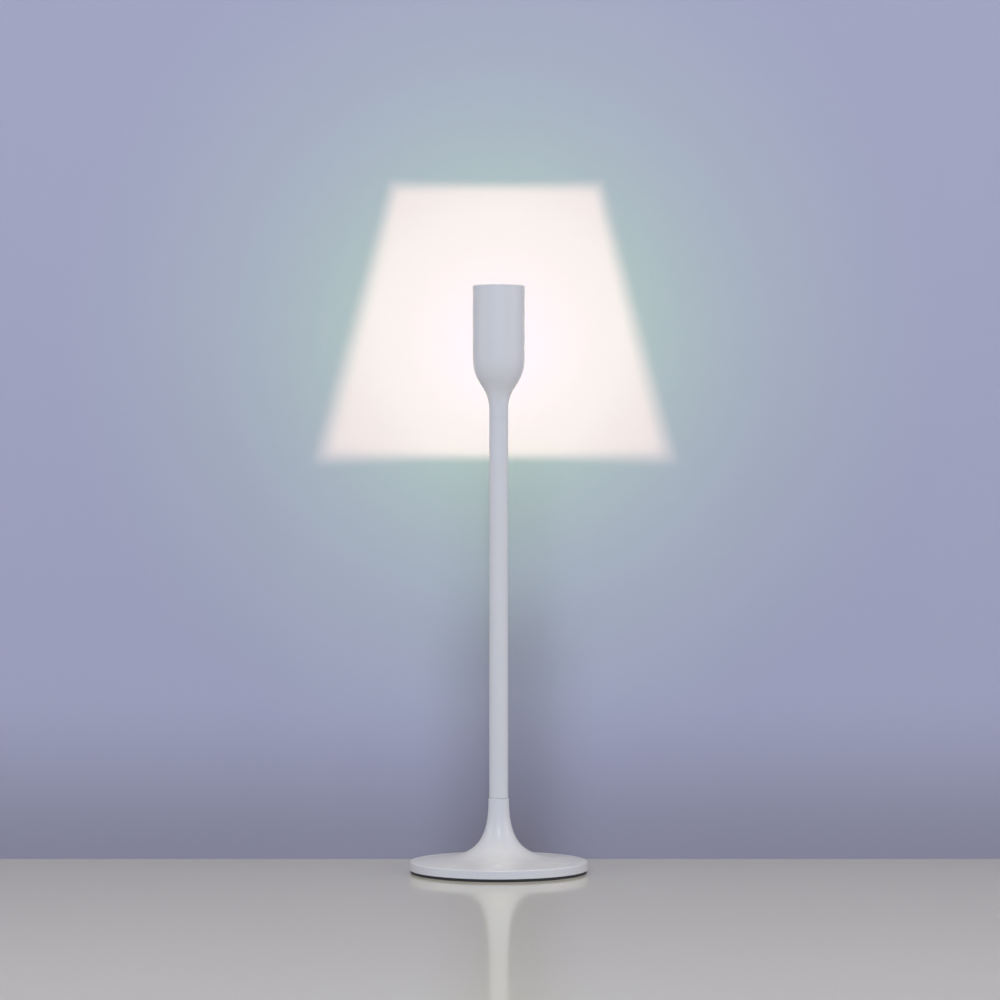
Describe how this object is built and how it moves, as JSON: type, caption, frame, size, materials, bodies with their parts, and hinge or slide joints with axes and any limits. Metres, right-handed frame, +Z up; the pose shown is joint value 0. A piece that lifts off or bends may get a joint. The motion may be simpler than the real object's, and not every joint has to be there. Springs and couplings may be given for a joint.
{
  "type": "table lamp",
  "caption": "Slim table lamp: trumpet foot, tube stem and a socket-shaped swivelling head that throws a shade-shaped patch of light on the wall behind it.",
  "frame": {"origin": "middle of the rubber ring's underside, on the surface that the lamp stands on", "axes": "+Z up along the stem; +Y to the rear, towards the wall that the light falls on, and out of the cord entry; +X to the right seen from the front"},
  "size_m": [0.125, 0.125, 0.412],
  "materials": {
    "white_coat": "satin white powder coat",
    "cast_ballast": "rough as cast",
    "plate_steel": "matt black coated steel",
    "zinc_steel": "bright zinc plated",
    "black_rubber": "matt black rubber",
    "brass_turned": "turned brass",
    "glide_plastic": "pale grey acetal",
    "cable_pvc": "white cable sheath",
    "circuit_green": "green solder mask",
    "choke_wire": "enamelled copper winding on a ferrite core",
    "capacitor_sleeve": "dark blue sleeve with an aluminium top",
    "chip_resin": "black moulded resin",
    "terminal_plastic": "green moulded plastic",
    "spacer_plastic": "natural nylon",
    "sink_anodised": "black anodised",
    "thermal_grey": "soft grey thermal pad",
    "board_white": "white solder mask on an aluminium core",
    "led_phosphor": "ceramic package with a yellow phosphor",
    "led_lens": "clear silicone dome",
    "mask_black": "matt black sheet",
    "window_clear": "clear polycarbonate",
    "wire_red": "red insulation",
    "wire_black": "black insulation"
  },
  "bodies": {
    "stand": {"foot_casting": "white_coat", "ballast_ring": "cast_ballast", "bottom_plate": "plate_steel", "plate_screws": "zinc_steel", "foot_pad": "black_rubber", "cord_grommet": "black_rubber", "driver_board": "circuit_green", "driver_choke": "choke_wire", "driver_capacitor": "capacitor_sleeve", "driver_chip": "chip_resin", "input_terminal": "terminal_plastic", "output_terminal": "terminal_plastic", "driver_spacers": "spacer_plastic", "driver_screws": "zinc_steel", "lower_ferrule": "brass_turned", "foot_lock_washer": "zinc_steel", "foot_nut": "zinc_steel", "stem_tube": "white_coat", "upper_ferrule": "brass_turned", "stop_pin": "zinc_steel", "glide_washer": "glide_plastic", "crinkle_washer": "zinc_steel", "swivel_nut": "brass_turned", "stem_cable": "cable_pvc"},
    "head": {"head_shell": "white_coat", "head_cap": "white_coat", "cap_screws": "zinc_steel", "heat_sink": "sink_anodised", "thermal_pad": "thermal_grey", "led_board": "board_white", "led_package": "led_phosphor", "led_dome": "led_lens", "board_screws": "zinc_steel", "light_mask": "mask_black", "window_cover": "window_clear", "red_wire": "wire_red", "black_wire": "wire_black"}
  },
  "joints": [
    {"name": "head_swivel", "type": "hinge", "parent": "stand", "child": "head", "pos_m": [0, 0, 0.3194], "axis": [0, 0, 1], "range_deg": [-90, 90]}
  ]
}
